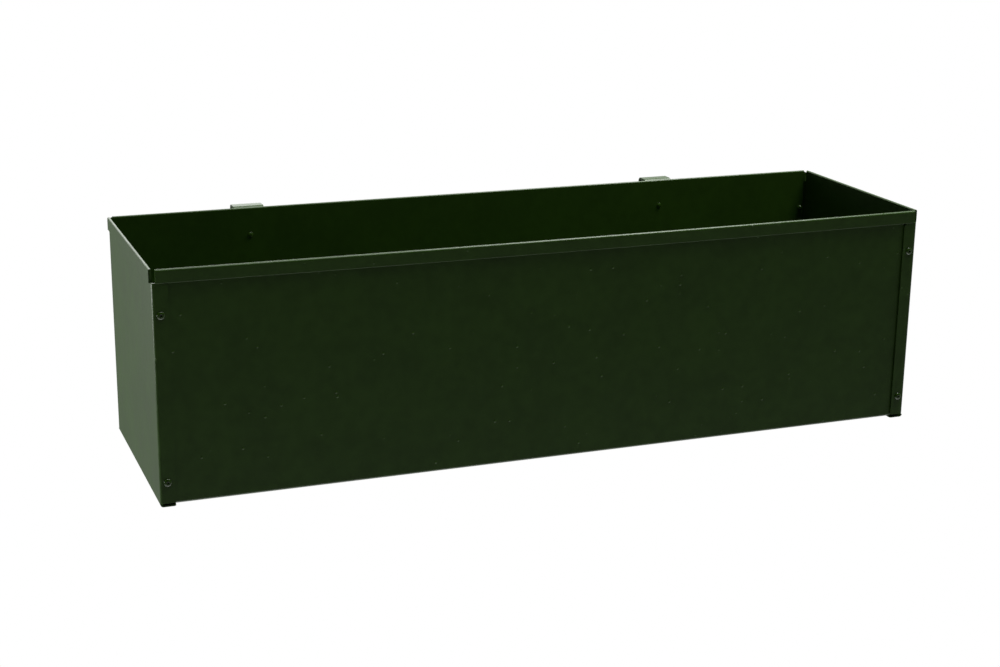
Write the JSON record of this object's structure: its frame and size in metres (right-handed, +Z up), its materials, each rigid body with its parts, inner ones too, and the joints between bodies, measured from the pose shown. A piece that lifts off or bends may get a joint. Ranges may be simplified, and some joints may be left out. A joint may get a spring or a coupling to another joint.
{
  "type": "window box planter",
  "caption": "Long open-topped box of folded sheet steel with riveted flanged end caps, a hemmed rim, a drained floor and strap hooks on its back.",
  "frame": {"origin": "middle of the overall box, hooks and rivet heads included, at the height it stands on", "axes": "+X along the box to its right end seen from the front, +Z up; the front faces -Y and the hooks are at +Y"},
  "size_m": [0.7028, 0.2194, 0.2004],
  "materials": {
    "shell_paint": "satin dark green powder coat",
    "cap_paint": "satin dark green powder coat",
    "hook_paint": "satin dark green powder coat",
    "rivet_paint": "satin dark green powder coat"
  },
  "bodies": {
    "root": {"body_shell": "shell_paint", "end_cap_left": "cap_paint", "end_cap_right": "cap_paint", "hook_left": "hook_paint", "hook_right": "hook_paint", "rivet_front_left_upper": "rivet_paint", "rivet_front_left_lower": "rivet_paint", "rivet_front_right_upper": "rivet_paint", "rivet_front_right_lower": "rivet_paint", "rivet_back_left_upper": "rivet_paint", "rivet_back_left_lower": "rivet_paint", "rivet_back_right_upper": "rivet_paint", "rivet_back_right_lower": "rivet_paint", "rivet_bottom_left_front": "rivet_paint", "rivet_bottom_left_back": "rivet_paint", "rivet_bottom_right_front": "rivet_paint", "rivet_bottom_right_back": "rivet_paint", "rivet_hook_left_upper": "rivet_paint", "rivet_hook_left_lower": "rivet_paint", "rivet_hook_right_upper": "rivet_paint", "rivet_hook_right_lower": "rivet_paint"}
  },
  "joints": []
}
